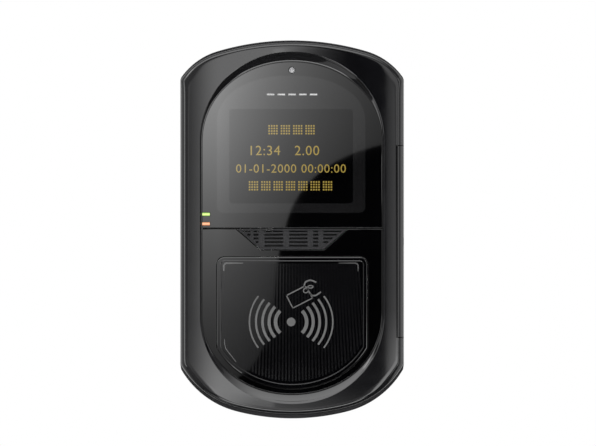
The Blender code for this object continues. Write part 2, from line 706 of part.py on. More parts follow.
def make_bay_controls():
    black = material("switch_black", (0.02, 0.02, 0.02), 0.4)
    red = material("button_red", (0.5, 0.03, 0.02), 0.4)
    grey = material("rocker_black", (0.03, 0.03, 0.03), 0.3)
    y, z = BUTTON
    body = box("reset_switch", (44, 51.7), (y - 3, y + 3), (ON_MAIN, ON_MAIN + 6), black)
    cut(body, cylinder("button_bore", 1.9, (50.6, y, z), 3.8, along="X"))
    cylinder("reset_button", 1.6, (53.4, y, z), 7, red, along="X")

    x, y, z = SWITCH
    body = box("power_switch_body", (43, 54.2), (y - 6.2, y + 6.2), (z - 4.1, z + 4.1), black)
    join(body, box("switch_flange", (54.3, 55.3), (y - 7, y + 7), (z - 5, z + 5)))
    join(body, box("switch_neck", (53, 54.8), (y - 6.2, y + 6.2), (z - 4.1, z + 4.1)))
    cut(body, box("switch_hollow", (47.5, 60), (y - 5.6, y + 5.6), (z - 3.1, z + 3.1)))
    rocker = [(-3.4, -3.4), (1.9, -4.8), (1.1, 0), (1.9, 4.8), (-3.4, 3.4)]
    piece = prism("power_switch_rocker", [rocker], (z - 2.6, z + 2.6), grey)
    piece.location.x = x * MM
    piece.location.y = y * MM
    piece.rotation_euler.z = math.radians(8)


# ---------------------------------------------------------------- bracket, lock and fasteners


def make_bracket():
    look = material("bracket_steel", (0.25, 0.25, 0.26), 0.45, 1.0)
    plate = rectangle((-42, 42), (-98, 72), 6)
    window = rectangle((-23, 23), (-50, -26), 3)
    holes = [arc((x, y), (3, 3), 0, 330, 11) for x in (-32, 32) for y in (-62, 50)]
    bracket = prism("mounting_bracket", [plate, window, *holes], (0, REAR_BACK - GAP), look)
    for i, x in enumerate(HOOKS):
        join(bracket, box(f"hook_root_{i + 1}", (x - 4, x + 4), (58, 61), (1, 8.2)))
        join(bracket, box(f"hook_tip_{i + 1}", (x - 4, x + 4), (58, 68), (5.8, 8.2)))
    join(bracket, box("lock_tab", (-9, 9), (-95.7, -93.7), (1, 15)))


def make_lock():
    chrome = material("lock_chrome", (0.8, 0.8, 0.8), 0.15, 1.0)
    steel = material("cam_steel", (0.45, 0.45, 0.46), 0.35, 1.0)
    at = (0, 0, LOCK_Z)
    head = LOCK_FACE + LOCK_HEAD
    barrel = [(7, -99.5), (7, head), (LOCK_HEAD_RADIUS, head), (LOCK_HEAD_RADIUS, LOCK_FACE)]
    barrel += [(5.4, LOCK_FACE), (5.4, -99.5)]
    turned("lock_barrel", barrel, chrome, at, "Y", closed=True)
    face = LOCK_FACE + GAP
    plug = turned("lock_plug", ((0, -98.6), (5, -98.6), (5, face), (0, face)), chrome, at, "Y")
    cut(plug, box("key_slot", (-3.4, 3.4), (-119, -108), (LOCK_Z - 0.6, LOCK_Z + 0.6)))
    far = arc((0, LOCK_Z - CAM_REACH), (4.5, 4.5), 180, 360, 8)
    near = arc((0, LOCK_Z), (4.5, 4.5), 0, 180, 8)
    prism("lock_cam", [far + near], (-98.3, -96.3), steel, along="Y")
    hexagon = arc((0, LOCK_Z), (10.5, 10.5), 0, 300, 5)
    hole = arc((0, LOCK_Z), (7.3, 7.3), 0, 345, 23)
    prism("lock_nut", [hexagon, hole], (-111.7, -108.7), steel, along="Y")


def make_fasteners():
    steel = material("screw_steel", (0.3, 0.3, 0.31), 0.35, 1.0)
    plate = material("rating_plate_foil", (0.6, 0.6, 0.61), 0.4, 1.0)
    profile = ((0, 29), (1.5, 29), (1.5, 7.7), (3.2, 7.7), (3.2, 5), (0, 5))
    for i, (x, y) in enumerate(CASE_SCREWS):
        turned(f"case_screw_{i + 1}", profile, steel, (x, y, 0), steps=14)
    prism("rating_plate", [rectangle((-25, 25), (82, 100), 2)], (2.1, 2.5), plate)


make_front_shell()
make_rear_shell()
make_gaskets()
make_window()
make_card_panel()
make_grille()
make_lenses()
make_display()
make_speaker()
make_card_loop()
make_main_electronics()
make_power_supply()
make_rear_sockets()
make_door()
make_bay()
make_bay_controls()
make_bracket()
make_lock()
make_fasteners()
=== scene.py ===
"""Looks of the on-bus card validator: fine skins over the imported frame, materials, studio and camera.

Shapes are written on the same bench frame as the part: x to the viewer's right, y up the face and
depth out of the wall towards the viewer, in millimetres. at() turns such a point into the row
frame, where +Z is up and the face looks along -Y, in metres.
"""

import math

import bmesh
import bpy
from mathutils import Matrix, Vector


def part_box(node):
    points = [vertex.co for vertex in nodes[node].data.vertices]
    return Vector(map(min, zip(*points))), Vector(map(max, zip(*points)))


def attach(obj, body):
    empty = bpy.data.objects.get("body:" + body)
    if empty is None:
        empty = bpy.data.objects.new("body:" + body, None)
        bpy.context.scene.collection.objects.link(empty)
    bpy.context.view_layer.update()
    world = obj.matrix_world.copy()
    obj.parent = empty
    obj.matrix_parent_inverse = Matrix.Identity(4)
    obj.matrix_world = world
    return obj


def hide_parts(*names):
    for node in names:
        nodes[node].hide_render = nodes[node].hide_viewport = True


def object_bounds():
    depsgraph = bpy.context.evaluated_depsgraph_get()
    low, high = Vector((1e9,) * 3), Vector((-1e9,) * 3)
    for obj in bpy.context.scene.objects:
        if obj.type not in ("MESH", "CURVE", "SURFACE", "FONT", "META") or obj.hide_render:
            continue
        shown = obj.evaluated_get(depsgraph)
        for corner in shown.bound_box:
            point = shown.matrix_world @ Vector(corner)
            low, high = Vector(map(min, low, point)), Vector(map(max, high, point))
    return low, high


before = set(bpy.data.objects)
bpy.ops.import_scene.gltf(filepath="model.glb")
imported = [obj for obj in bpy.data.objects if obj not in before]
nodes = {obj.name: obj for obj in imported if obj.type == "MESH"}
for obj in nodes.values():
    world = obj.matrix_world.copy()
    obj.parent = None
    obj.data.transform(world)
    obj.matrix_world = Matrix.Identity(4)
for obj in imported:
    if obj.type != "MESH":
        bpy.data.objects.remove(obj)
cad_low, cad_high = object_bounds()

MM = 0.001


def at(x, y, depth):
    return Vector((x, -depth, y)) * MM


class Span:
    """A CAD node's box on the bench frame, in millimetres."""

    def __init__(self, node):
        low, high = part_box(node)
        self.left, self.right = low.x / MM, high.x / MM
        self.bottom, self.top = low.z / MM, high.z / MM
        self.back, self.front = -high.y / MM, -low.y / MM
        self.x = (self.left + self.right) / 2
        self.y = (self.bottom + self.top) / 2
        self.depth = (self.back + self.front) / 2


front = Span("front_shell")
rear = Span("rear_shell")
window = Span("display_window")
lower_panel = Span("card_panel")
pad = Span("card_pad")
grille = Span("speaker_grille")
door = Span("service_door")
sensor = Span("light_sensor_lens")
green = Span("led_lens_green")
orange = Span("led_lens_orange")
pin = Span("door_hinge_pin")
door_screw = Span("door_screw")
lock = Span("lock_barrel")
SCREWS = [f"case_screw_{i}" for i in range(1, 5)]
SCREW_PLACES = [(screw.x, screw.y) for screw in map(Span, SCREWS)]

# Shape of the housing, as in the part
WALL = 2.6
CREASE = 65.3
BEZEL_EDGE = 63.0
CORNER_BACK = 54.0
CORNER_REACH = front.right - CREASE
CAVITY_FRONT = 57.0
LEDGE_FRONT = 59.4
RECESS = (57.4, 110.7, -108.9, 56.0)  # half width, top, bottom, height of each rounded end
PANEL = (window.right, window.top, lower_panel.bottom, 50.0)
FACE = window.front
KNUCKLE = 2.0
LUGS = ((-49.4, -45.0), (30.3, 34.7))
RING_POINTS = 300
DOT_PITCH = 1.6
DOT_GAP = 0.6
INK = 0.04
GRILLE_FOOT = 19.6  # half the width of its short lower edge
CARDS_Y = -1.5  # metres, how far in front of the object the studio cards hang
FACES_FORWARD = -0.9999  # a normal's y below this belongs to a flat front face
DASHES = 5
PAD = (47.2, -17.0, -99.5, 5)  # half width, top, bottom, corner radius


# ---- outlines


def arc(centre, radii, start, end, steps):
    angles = [math.radians(start + (end - start) * i / steps) for i in range(steps + 1)]
    return [(centre[0] + radii[0] * math.cos(a), centre[1] + radii[1] * math.sin(a)) for a in angles]


def circle(centre, radius, sides):
    turns = [math.tau * i / sides for i in range(sides)]
    return [[centre[0] + radius * math.cos(a), centre[1] + radius * math.sin(a)] for a in turns]


def spline(points, steps=8):
    """A smooth line through a few points."""
    ends = [points[0]] + list(points) + [points[-1]]
    line = []
    for i in range(len(points) - 1):
        a, b, c, d = (Vector(p) for p in ends[i : i + 4])
        for k in range(steps):
            t = k / steps
            curve = (a * -1 + b * 3 - c * 3 + d) * t**3 + (a * 2 - b * 5 + c * 4 - d) * t * t
            line.append(tuple((curve + (c - a) * t + b * 2) / 2))
    return line + [points[-1]]


def end_cap(half_width, crown_radius, crown_half, corner_radius, height):
    """Right half of a crowned end: a wide crown arc running into a tighter corner arc."""
    lean = math.degrees(math.asin(crown_half / crown_radius))
    share = (crown_radius - corner_radius) / crown_radius
    rise = height - crown_radius + share * crown_radius * math.cos(math.radians(lean))
    corner_centre = (crown_half * share, rise)
    finish = math.degrees(math.acos((half_width - corner_centre[0]) / corner_radius))
    corner = arc(corner_centre, (corner_radius,) * 2, finish, 90 - lean, 24)
    crown = arc((0, height - crown_radius), (crown_radius,) * 2, 90 - lean, 90, 24)
    return corner + crown[1:]


def housing_outline(half_width, top, bottom):
    """The housing seen from the front, anticlockwise from the right side."""
    upper = end_cap(half_width, 164, 47, 42, top)
    lower = end_cap(half_width, 140, 35, 56, -bottom)
    upper += [(-x, y) for x, y in reversed(upper[:-1])]
    lower += [(-x, y) for x, y in reversed(lower[:-1])]
    return upper + [(-x, -y) for x, y in lower]


def rounded_end(half_width, height, end, power=2.05, steps=48):
    """The rounded upper end of the panel, from its right side to its left side."""
    points = []
    for i in range(2 * steps + 1):
        angle = math.pi * i / (2 * steps)
        across = math.copysign(abs(math.cos(angle)) ** (2 / power), math.cos(angle))
        up = math.sin(angle) ** (2 / power)
        points.append((half_width * across, height - end + end * up))
    return points


def stadium(half_width, top, bottom, end):
    upper = rounded_end(half_width, top, end)
    lower = [(-x, -y) for x, y in rounded_end(half_width, -bottom, end)]
    return upper + lower


def inset(outline, distance):
    """The outline moved towards its left-hand side: inwards where it runs anticlockwise."""
    if not distance:
        return list(outline)
    moved = []
    for i, point in enumerate(outline):
        here = Vector(point)
        before = (here - Vector(outline[i - 1])).normalized()
        after = (Vector(outline[(i + 1) % len(outline)]) - here).normalized()
        side = Vector((-after.y, after.x))
        inward = (Vector((-before.y, before.x)) + side).normalized()
        moved.append(tuple(here + inward * distance / max(inward.dot(side), 0.3)))
    return moved


def rectangle(left, right, bottom, top, radius, steps=6):
    corners = (
        (right - radius, top - radius, 0),
        (left + radius, top - radius, 90),
        (left + radius, bottom + radius, 180),
        (right - radius, bottom + radius, 270),
    )
    outline = []
    for x, y, start in corners:
        outline += arc((x, y), (radius, radius), start, start + 90, steps)
    return outline


def pad_outline(half_width, top, bottom, radius):
    """The D shape of the card pad, whose lower end follows the panel."""
    centre_y = PANEL[2] + PANEL[3]
    wide = half_width + 5.8
    end = math.degrees(math.acos(half_width / wide))
    outline = arc((0, centre_y), (wide, centre_y - bottom), 180 + end, 360 - end, 60)
    outline += arc((half_width - radius, top - radius), (radius, radius), 0, 90, 10)
    return outline + arc((radius - half_width, top - radius), (radius, radius), 90, 180, 10)


def rays(outline, angles):
    """Where rays from the middle of the face cross an outline, so that rings line up."""
    turned = sorted((math.atan2(y, x) % math.tau, x, y) for x, y in outline)
    first, last = turned[0], turned[-1]
    turned = [(last[0] - math.tau, *last[1:])] + turned + [(first[0] + math.tau, *first[1:])]
    ring = []
    step = 0
    for angle in angles:
        while turned[step + 1][0] < angle:
            step += 1
        (_, x0, y0), (_, x1, y1) = turned[step], turned[step + 1]
        ux, uy = math.cos(angle), math.sin(angle)
        gap_x, gap_y = x1 - x0, y1 - y0
        reach = (x0 * gap_y - y0 * gap_x) / (ux * gap_y - uy * gap_x)
        ring.append((ux * reach, uy * reach))
    return ring


def flat(outline, depth):
    return [(x, y, depth) for x, y in outline]


def between(near, far, share):
    """Points a share of the way from one ring to another."""
    return [(a + (c - a) * share, b + (d - b) * share) for (a, b), (c, d) in zip(near, far)]


def ring_angles():
    """Even angles round the face, with one at each corner where the side meets an end."""
    even = [math.tau * i / RING_POINTS for i in range(RING_POINTS)]
    outline = housing_outline(front.right, front.top, front.bottom)
    corners = [p for p in outline if abs(abs(p[0]) - front.right) < 0.001]
    return sorted(even + [math.atan2(y, x) % math.tau for x, y in corners])


ANGLES = ring_angles()


def inner_ring(outline, distance=0):
    """An outline moved in, with its points on the shared rays."""
    return rays(inset(outline, distance), ANGLES)


# ---- mesh helpers


def place_object(name, data):
    made = bpy.data.objects.new(name, data)
    bpy.context.scene.collection.objects.link(made)
    return made


def mesh_of(name, shape):
    """Turns a bmesh into a mesh with its faces outward, and uses it up."""
    bmesh.ops.recalc_face_normals(shape, faces=shape.faces)
    mesh = bpy.data.meshes.new(name)
    shape.to_mesh(mesh)
    shape.free()
    return mesh


def evaluated_mesh(made):
    graph = bpy.context.evaluated_depsgraph_get()
    return bpy.data.meshes.new_from_object(made.evaluated_get(graph))


def shade(mesh, angle):
    mesh.shade_smooth()
    mesh.set_sharp_from_angle(angle=math.radians(angle))


def finish_piece(name, shape, looks, node=None, body="housing", angle=32):
    """Makes an object of a bmesh, shades it, and ties it to its body and the node it stands for."""
    mesh = mesh_of(name, shape)
    shade(mesh, angle)
    for look in looks:
        mesh.materials.append(look)
    made = place_object(name, mesh)
    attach(made, body)
    if node:
        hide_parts(node)
    return made


def steady(made):
    """Keeps wide flat faces flat where they run into a rounded edge."""
    for polygon in made.data.polygons:
        polygon.use_smooth = polygon.use_smooth and polygon.normal.y > FACES_FORWARD
    step = made.modifiers.new("steady_normals", "WEIGHTED_NORMAL")
    step.keep_sharp = True
    step.weight = 100


def apply_tools(made, tools, angle=32):
    """Applies Booleans given as (operation, name, shape), one after another."""
    others = []
    for operation, name, shape in tools:
        others.append(place_object(name, mesh_of(name, shape)))
        step = made.modifiers.new(name, "BOOLEAN")
        step.operation = operation
        step.object = others[-1]
        step.solver = "EXACT"
    mesh = evaluated_mesh(made)
    made.modifiers.clear()
    made.data = mesh
    shade(mesh, angle)
    for other in others:
        bpy.data.objects.remove(other)


def join(shape, near, far, slot=0):
    """Quads between two closed rings of corners."""
    for i in range(len(near)):
        j = (i + 1) % len(near)
        face = shape.faces.new((near[i], near[j], far[j], far[i]))
        face.material_index = slot


def add_rings(shape, rings, closed=False, slot=0):
    """Quads between rings of bench points, and back to the first ring if the strip is closed."""
    rows = [[shape.verts.new(at(*point)) for point in ring] for ring in rings]
    pairs = list(zip(rows, rows[1:]))
    if closed:
        pairs.append((rows[-1], rows[0]))
    for near, far in pairs:
        join(shape, near, far, slot)
    return rows


def add_drawn(shape, curve, origin, slot=0):
    """Adds a curve's faces, with the curve's own origin at a bench point."""
    drawn = place_object("drawn", curve)
    mesh = evaluated_mesh(drawn)
    bpy.data.objects.remove(drawn)
    x, y, depth = origin
    corners = [shape.verts.new(at(x + v.co.x, y + v.co.y, depth + v.co.z)) for v in mesh.vertices]
    for polygon in mesh.polygons:
        face = shape.faces.new([corners[i] for i in polygon.vertices])
        face.material_index = slot
    bpy.data.meshes.remove(mesh)


def add_fill(shape, loops, depth, slot=0):
    """A flat face with holes, cut into triangles, at one depth."""
    curve = bpy.data.curves.new("fill", "CURVE")
    curve.dimensions = "2D"
    curve.fill_mode = "BOTH"
    for loop in loops:
        spline = curve.splines.new("POLY")
        spline.points.add(len(loop) - 1)
        for point, (x, y) in zip(spline.points, loop):
            point.co = (x, y, 0, 1)
        spline.use_cyclic_u = True
    add_drawn(shape, curve, (0, 0, depth), slot)


def weld(shape):
    bmesh.ops.remove_doubles(shape, verts=shape.verts, dist=0.000002)


def add_slab(shape, loops, back, face, radius, regions=None, slot=0):
    """A flat plate with rounded front edges. The first loop runs anticlockwise, holes clockwise.

    regions are (loops, slot) that share out the front face; without them it is one face.
    """
    steps = [math.radians(90 * i / 4) for i in range(5)]
    chamfer = 0.15
    profile = [(chamfer, back), (0, back + chamfer)]
    profile += [(radius * (1 - math.cos(a)), face - radius + radius * math.sin(a)) for a in steps]
    for loop in loops:
        add_rings(shape, [flat(inset(loop, d), depth) for d, depth in profile], slot=slot)
    add_fill(shape, [inset(loop, chamfer) for loop in loops], back, slot)
    for region, region_slot in regions or [([inset(loop, radius) for loop in loops], slot)]:
        add_fill(shape, region, face, region_slot)


def add_prism(shape, near, far):
    """A closed solid between two rings of bench points."""
    near, far = [[shape.verts.new(at(*point)) for point in ring] for ring in (near, far)]
    shape.faces.new(near)
    shape.faces.new(far)
    join(shape, near, far)


def add_box(shape, left, right, bottom, top, back, face):
    ring = [(left, bottom), (right, bottom), (right, top), (left, top)]
    add_prism(shape, flat(ring, back), flat(ring, face))


def add_rod(shape, axis, centre, radius, low, high, sides=32):
    """A closed rod along a bench axis: centre gives its other two coordinates in x, y, depth order."""
    ends = []
    for reach in (low, high):
        ring = circle(centre, radius, sides)
        for point in ring:
            point.insert("xyz".index(axis), reach)
        ends.append(ring)
    add_prism(shape, *ends)


def add_rods(shape, axis, centres, *sizes):
    for centre in centres:
        add_rod(shape, axis, centre, *sizes)


def sweep(shape, section, low, high):
    """A closed solid: a section of (x, depth) points carried up the face from low to high."""
    add_prism(shape, *[[(x, y, depth) for x, depth in section] for y in (low, high)])


# ---- materials


def axes(tree, coordinates="Object"):
    """The three coordinates of the shaded point, as a node's outputs."""
    place = tree.nodes.new("ShaderNodeTexCoord")
    split = tree.nodes.new("ShaderNodeSeparateXYZ")
    tree.links.new(place.outputs[coordinates], split.inputs[0])
    return split.outputs


def math_node(tree, operation, source, value=None):
    """One step of arithmetic; value is a number or another source."""
    step = tree.nodes.new("ShaderNodeMath")
    step.operation = operation
    tree.links.new(source, step.inputs[0])
    if isinstance(value, (int, float)):
        step.inputs[1].default_value = value
    elif value is not None:
        tree.links.new(value, step.inputs[1])
    return step.outputs[0]


class Look:
    """A small material builder: one Principled shader, patterns in the row frame's coordinates."""

    def __init__(self, name, colour, roughness, metallic=0.0, specular=0.5):
        self.material = bpy.data.materials.new(name)
        self.material.use_nodes = True
        self.tree = self.material.node_tree
        self.shader = self.tree.nodes["Principled BSDF"]
        self.colour = colour
        self.put("Base Color", (*colour, 1))
        self.put("Roughness", roughness)
        self.put("Metallic", metallic)
        self.put("Specular IOR Level", specular)
        self.place = self.node("ShaderNodeTexCoord").outputs["Object"]
        self.height = None

    def node(self, kind, **settings):
        made = self.tree.nodes.new(kind)
        for key, value in settings.items():
            setattr(made, key, value)
        return made

    def put(self, socket, value):
        self.shader.inputs[socket].default_value = value

    def link(self, source, target):
        self.tree.links.new(source, target)

    def noise(self, scale, detail=4.0, stretch=(1, 1, 1)):
        mapping = self.node("ShaderNodeMapping")
        mapping.inputs["Scale"].default_value = stretch
        self.link(self.place, mapping.inputs["Vector"])
        texture = self.node("ShaderNodeTexNoise")
        texture.inputs["Scale"].default_value = scale
        texture.inputs["Detail"].default_value = detail
        self.link(mapping.outputs["Vector"], texture.inputs["Vector"])
        return texture.outputs["Fac"]

    def spread(self, source, low, high, start=0.3, end=0.7):
        """Maps a pattern from start..end to low..high."""
        ranged = self.node("ShaderNodeMapRange")
        for socket, value in zip(("From Min", "From Max", "To Min", "To Max"), (start, end, low, high)):
            ranged.inputs[socket].default_value = value
        self.link(source, ranged.inputs["Value"])
        return ranged.outputs["Result"]

    def mottle(self, source, low, high):
        """Colour between two shades of the base colour."""
        shades = [[c * scale for c in self.colour] for scale in (low, high)]
        self.blend(self.spread(source, 0, 1), *shades, "Base Color")

    def blend(self, factor, first, second, socket):
        mix = self.node("ShaderNodeMix", data_type="RGBA")
        mix.inputs["A"].default_value = (*first, 1)
        mix.inputs["B"].default_value = (*second, 1)
        self.link(factor, mix.inputs["Factor"])
        self.link(mix.outputs["Result"], self.shader.inputs[socket])

    def roughen(self, source, low, high):
        self.link(self.spread(source, low, high), self.shader.inputs["Roughness"])

    def bump(self, source, distance, strength=1.0):
        step = self.node("ShaderNodeBump")
        step.inputs["Distance"].default_value = distance
        step.inputs["Strength"].default_value = strength
        self.link(source, step.inputs["Height"])
        if self.height is not None:
            self.link(self.height, step.inputs["Normal"])
        self.height = step.outputs["Normal"]
        self.link(self.height, self.shader.inputs["Normal"])

    def glow(self, colour, strength):
        self.put("Emission Color", (*colour, 1))
        self.put("Emission Strength", strength)


def moulded(name, colour, roughness, grain=0.00002, specular=0.5):
    """Moulded plastic: fine grain, slight mottle and handling shine."""
    look = Look(name, colour, roughness, specular=specular)
    look.mottle(look.noise(90), 0.86, 1.14)
    look.roughen(look.noise(35), roughness * 0.85, roughness * 1.2)
    look.bump(look.noise(2600, 2), grain)
    return look.material


def polished(name, colour, roughness, specular=0.5):
    """Polished panel: nearly flat, with faint smears where hands have wiped it."""
    look = Look(name, colour, roughness, specular=specular)
    look.roughen(look.noise(16, 3, (1, 1, 3)), roughness * 0.7, roughness * 1.5)
    look.mottle(look.noise(40), 0.8, 1.2)
    return look.material


def metal(name, colour, roughness, stretch=(1, 1, 1), brushed=0.00001):
    look = Look(name, colour, roughness, metallic=1.0)
    look.mottle(look.noise(140), 0.88, 1.1)
    look.roughen(look.noise(420, 3, stretch), roughness * 0.75, roughness * 1.35)
    look.bump(look.noise(1500, 2, stretch), brushed)
    return look.material


def laminate(name, colour):
    """Circuit board: solder mask over faint copper runs."""
    look = Look(name, colour, 0.35)
    bricks = look.node("ShaderNodeTexBrick")
    bricks.inputs["Scale"].default_value = 160
    bricks.inputs["Color1"].default_value = (*colour, 1)
    bricks.inputs["Color2"].default_value = (*[c * 1.5 for c in colour], 1)
    bricks.inputs["Mortar"].default_value = (*[c * 2.6 for c in colour], 1)
    bricks.inputs["Mortar Size"].default_value = 0.06
    turn = look.node("ShaderNodeMapping")
    turn.inputs["Rotation"].default_value = (math.radians(90), 0, 0)
    look.link(look.place, turn.inputs["Vector"])
    look.link(turn.outputs["Vector"], bricks.inputs["Vector"])
    look.link(bricks.outputs["Color"], look.shader.inputs["Base Color"])
    look.roughen(look.noise(60), 0.28, 0.45)
    look.bump(bricks.outputs["Fac"], 0.00003)
    return look.material


def rubber(name):
    look = Look(name, (0.012, 0.012, 0.012), 0.75)
    look.mottle(look.noise(300), 0.7, 1.5)
    look.bump(look.noise(1800, 2), 0.00002)
    return look.material


def lit(name, colour, roughness, light, strength):
    """A lit light pipe or display dot: its own colour, and the colour and strength of its light."""
    look = Look(name, colour, roughness)
    look.mottle(look.noise(900, 2), 0.75, 1.0)
    look.glow(light, strength)
    return look.material


housing = polished("housing_plastic", (0.0022, 0.0022, 0.0026), 0.06, 0.375)
rear_housing = moulded("rear_housing_plastic", (0.012, 0.012, 0.013), 0.46, specular=0.16)
panel_black = polished("panel_black", (0.0004, 0.0004, 0.0005), 0.016, 0.44)
arch_print = polished("arch_print", (0.0040, 0.0040, 0.0042), 0.016, 0.47)
display_dark = polished("display_dark", (0.0004, 0.0004, 0.0005), 0.016, 0.42)
pad_film = polished("pad_film", (0.0005, 0.0005, 0.0007), 0.02, 0.46)
pad_ribs = polished("pad_ribs", (0.0022, 0.0022, 0.0025), 0.05, 0.42)
icon_print = moulded("icon_print", (0.046, 0.046, 0.046), 0.4, 0.000004)
faint_print = moulded("faint_print", (0.05, 0.05, 0.05), 0.4, 0.000004)
# A darker copy of the tick print for the right-hand tick: painted shade.
print_with_painted_shade = moulded("print_with_painted_shade", (0.008, 0.008, 0.008), 0.4, 0.000004)
grille_plastic = moulded("grille_plastic", (0.005, 0.005, 0.006), 0.34, specular=0.22)
# Matte black, the display frame's own colour; behind the panel joint and the grille slots it is painted
# shade.
frame_black_and_painted_shade = moulded("frame_black_and_painted_shade", (0.006, 0.006, 0.006), 0.7, specular=0.15)


# ---- housing


def bezel_depth(x):
    return front.front - (front.front - BEZEL_EDGE) * (min(abs(x), CREASE) / CREASE) ** 2


def roll(reach, drop, distance):
    """How far a rounded edge has dropped at this distance in from the outline."""
    share = max(0.0, 1 - distance / reach)
    return drop * (1 - math.sqrt(1 - share * share))


def edge_drop(y, distance):
    """The side corners roll back deeply, and the ends have only a small round edge."""
    toward_end = min(1.0, max(0.0, (abs(y) - 84) / 20))
    toward_end = toward_end * toward_end * (3 - 2 * toward_end)
    side = roll(CORNER_REACH, BEZEL_EDGE - CORNER_BACK, distance)
    end = roll(2.6, 3.2, distance)
    return side + (end - side) * toward_end


def make_front_shell():
    outline = housing_outline(front.right, front.top, front.bottom)
    seat = inner_ring(stadium(*PANEL), -0.35)
    rim = inner_ring(stadium(*RECESS))
    hollow = inner_ring(outline, WALL)
    opening = inner_ring(stadium(*PANEL), 4.0)
    edge = inner_ring(outline)
    chamfer = 0.35
    rings = [flat(inner_ring(outline, chamfer), front.back), flat(edge, front.back + chamfer)]
    for share in (0.35, 0.7, 0.9, 1.0):
        sides = [(x, y, bezel_depth(x) - edge_drop(y, 0) - front.back) for x, y in edge]
        rings.append([(x, y, front.back + share * height) for x, y, height in sides])
    # The rounded edge, in to the crease.
    for distance in (0.05, 0.2, 0.45, 0.8, 1.2, 1.7, 2.2, 2.8, 3.5, CORNER_REACH):
        ring = inner_ring(outline, distance)
        rings.append([(x, y, bezel_depth(x) - edge_drop(y, distance)) for x, y in ring])
    # The face of the bezel, with rings closer together towards the recess.
    steps, crowding = 16, 1.4
    for step in range(1, steps):
        share = 1 - (1 - step / steps) ** crowding
        rings.append([(x, y, bezel_depth(x)) for x, y in between(ring, rim, share)])
    rings.append([(x * 1.003, y * 1.002, bezel_depth(x * 1.003)) for x, y in rim])
    # The hollow wall of the recess, from its rim down to the panel.
    hollowness = 1.25
    for share in (0.04, 0.25, 0.45, 0.65, 0.8, 0.9, 0.96, 0.99):
        sunk = 1 - (1 - share) ** hollowness
        wall = zip(between(rim, seat, share), (bezel_depth(x) for x, _ in rim))
        rings.append([(x, y, high + (FACE - 0.1 - high) * sunk) for (x, y), high in wall])
    rings.append(flat(seat, FACE - 0.4))
    rings.append(flat(seat, LEDGE_FRONT))
    rings.append(flat(opening, LEDGE_FRONT))
    rings.append(flat(opening, CAVITY_FRONT))
    rings.append(flat(hollow, CAVITY_FRONT))
    rings.append(flat(hollow, front.back))
    shape = bmesh.new()
    add_rings(shape, rings, closed=True)
    made = finish_piece("front_shell_skin", shape, [housing], "front_shell")

    # Hinge lugs and screw bosses; then the openings for the door, the lights, the sensor and the lock.
    added = bmesh.new()
    for low, high in LUGS:
        add_box(added, 65.9, 69.3, low, high, 17, 24)
    add_rods(added, "z", SCREW_PLACES, 4.5, 16.3, 57.6)
    cuts = bmesh.new()
    inner, outer, lip = 66.6, 75, CREASE - 0.1
    opening = [(inner, 19.2), (outer, 19.2), (outer, 72), (lip, 72), (lip, 59.6), (inner, 55.5)]
    sweep(cuts, opening, door.bottom - 0.4, door.top + 0.4)
    for lens in (green, orange):
        add_box(cuts, lens.left - 0.3, -51, lens.y - 1.3, lens.y + 1.3, 53, 64.4)
    add_rod(cuts, "z", (sensor.x, sensor.y), 2.3, 56, 62)
    add_rod(cuts, "y", (lock.x, lock.depth), 7.4, -120, -108, 48)
    flange = lock.bottom + 1.55
    add_rod(cuts, "y", (lock.x, lock.depth), 9.3, flange - 4, flange, 64)
    bores = bmesh.new()
    add_rods(bores, "z", SCREW_PLACES, 1.8, 15, 33, 24)
    add_rod(bores, "y", (pin.x, pin.depth), 1.2, -52, 38, 24)
    tools = [("DIFFERENCE", "front_cuts", cuts), ("UNION", "front_bosses", added)]
    apply_tools(made, tools + [("DIFFERENCE", "front_bores", bores)])


def make_rear_shell():
    outline = housing_outline(rear.right, rear.top, rear.bottom)
    radius = 5.0
    turns = [math.radians(15 * i) for i in range(7)]
    outside = [(WALL, 8.0), (WALL, 13.7), (WALL - 0.3, 14.0), (0.35, 14.0), (0, 13.65), (0, 7.8)]
    outside += [(radius * (1 - math.cos(a)), rear.back + radius * (1 - math.sin(a))) for a in turns]
    inside = [(WALL, 8.0), (3.4, 6.2), (6.0, rear.back + 2.5)]
    shape = bmesh.new()
    for profile in (outside, inside):
        rows = add_rings(shape, [flat(inner_ring(outline, d), depth) for d, depth in profile])
        shape.faces.new(rows[-1])
    weld(shape)
    made = finish_piece("rear_shell_skin", shape, [rear_housing], "rear_shell")

    # Screw bosses and board posts; then screw holes, bracket slots and ways for the lock and sockets.
    floor = 4.2  # inner face of the back wall
    added = bmesh.new()
    add_rods(added, "z", SCREW_PLACES, 5, floor, 16)
    add_rods(added, "z", [(x, y) for x in (-46, 46) for y in (76, -66)], 3, floor, 29.7)
    add_rods(added, "z", [(x, y) for x in (-36, 36) for y in (-30, -80)], 2.5, floor, 13.7)
    cuts = bmesh.new()
    add_rods(cuts, "z", SCREW_PLACES, 3.6, 0, 8)
    for x in (-25, 25):
        add_box(cuts, x - 5, x + 5, 50, 61.4, 0, 8)
    add_box(cuts, -10, 10, -97, -92.5, 0, 8)
    add_box(cuts, -19.5, 21, -46.6, -31.4, 0, 8)
    bores = bmesh.new()
    add_rods(bores, "z", SCREW_PLACES, 1.9, 5, 18, 24)
    tools = [("UNION", "rear_posts", added), ("DIFFERENCE", "rear_cuts", cuts)]
    apply_tools(made, tools + [("DIFFERENCE", "rear_bores", bores)])


